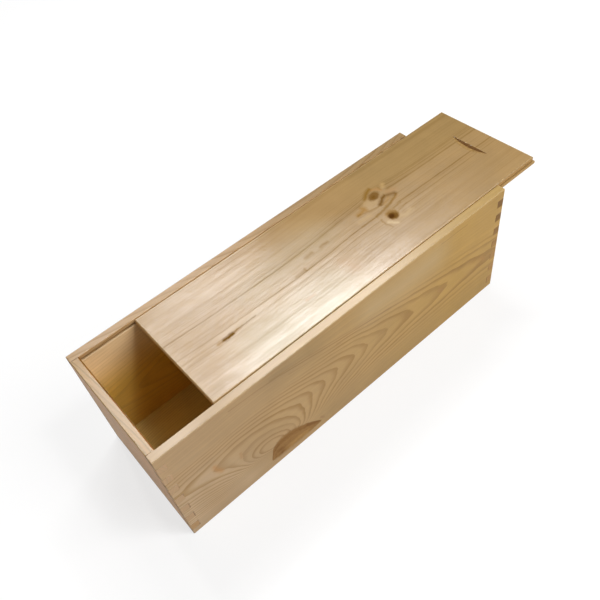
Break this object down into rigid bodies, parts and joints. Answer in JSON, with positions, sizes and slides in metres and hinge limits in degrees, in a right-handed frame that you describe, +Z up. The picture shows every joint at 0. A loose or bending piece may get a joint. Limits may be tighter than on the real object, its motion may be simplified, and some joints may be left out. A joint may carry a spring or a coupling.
{
  "type": "wooden wine box",
  "caption": "Long box of finger-jointed pine boards for one bottle, with a lid that slides in side grooves and has a crescent thumb pull.",
  "frame": {"origin": "middle of the box's footprint, on the plane that the box stands on, without the lid's overhang", "axes": "+X along the box, the way the lid slides open; +Y from the front board to the back board; +Z up"},
  "size_m": [0.3975, 0.118, 0.118],
  "materials": {
    "side_pine": "planed and sanded pine, unvarnished, with cathedral grain and knots",
    "end_pine": "planed and sanded pine, unvarnished, grain across the box",
    "panel_pine": "thin pine panel, unvarnished",
    "lid_pine": "planed and sanded pine, unvarnished, straight grain with small knots"
  },
  "bodies": {
    "box": {"front_board": "side_pine", "back_board": "side_pine", "closed_end_board": "end_pine", "open_end_board": "end_pine", "bottom_panel": "panel_pine"},
    "lid": {"sliding_lid": "lid_pine"}
  },
  "joints": [
    {"name": "lid_slide", "type": "slide", "parent": "box", "child": "lid", "axis": [1, 0, 0], "range_m": [-0.0475, 0.3]}
  ]
}
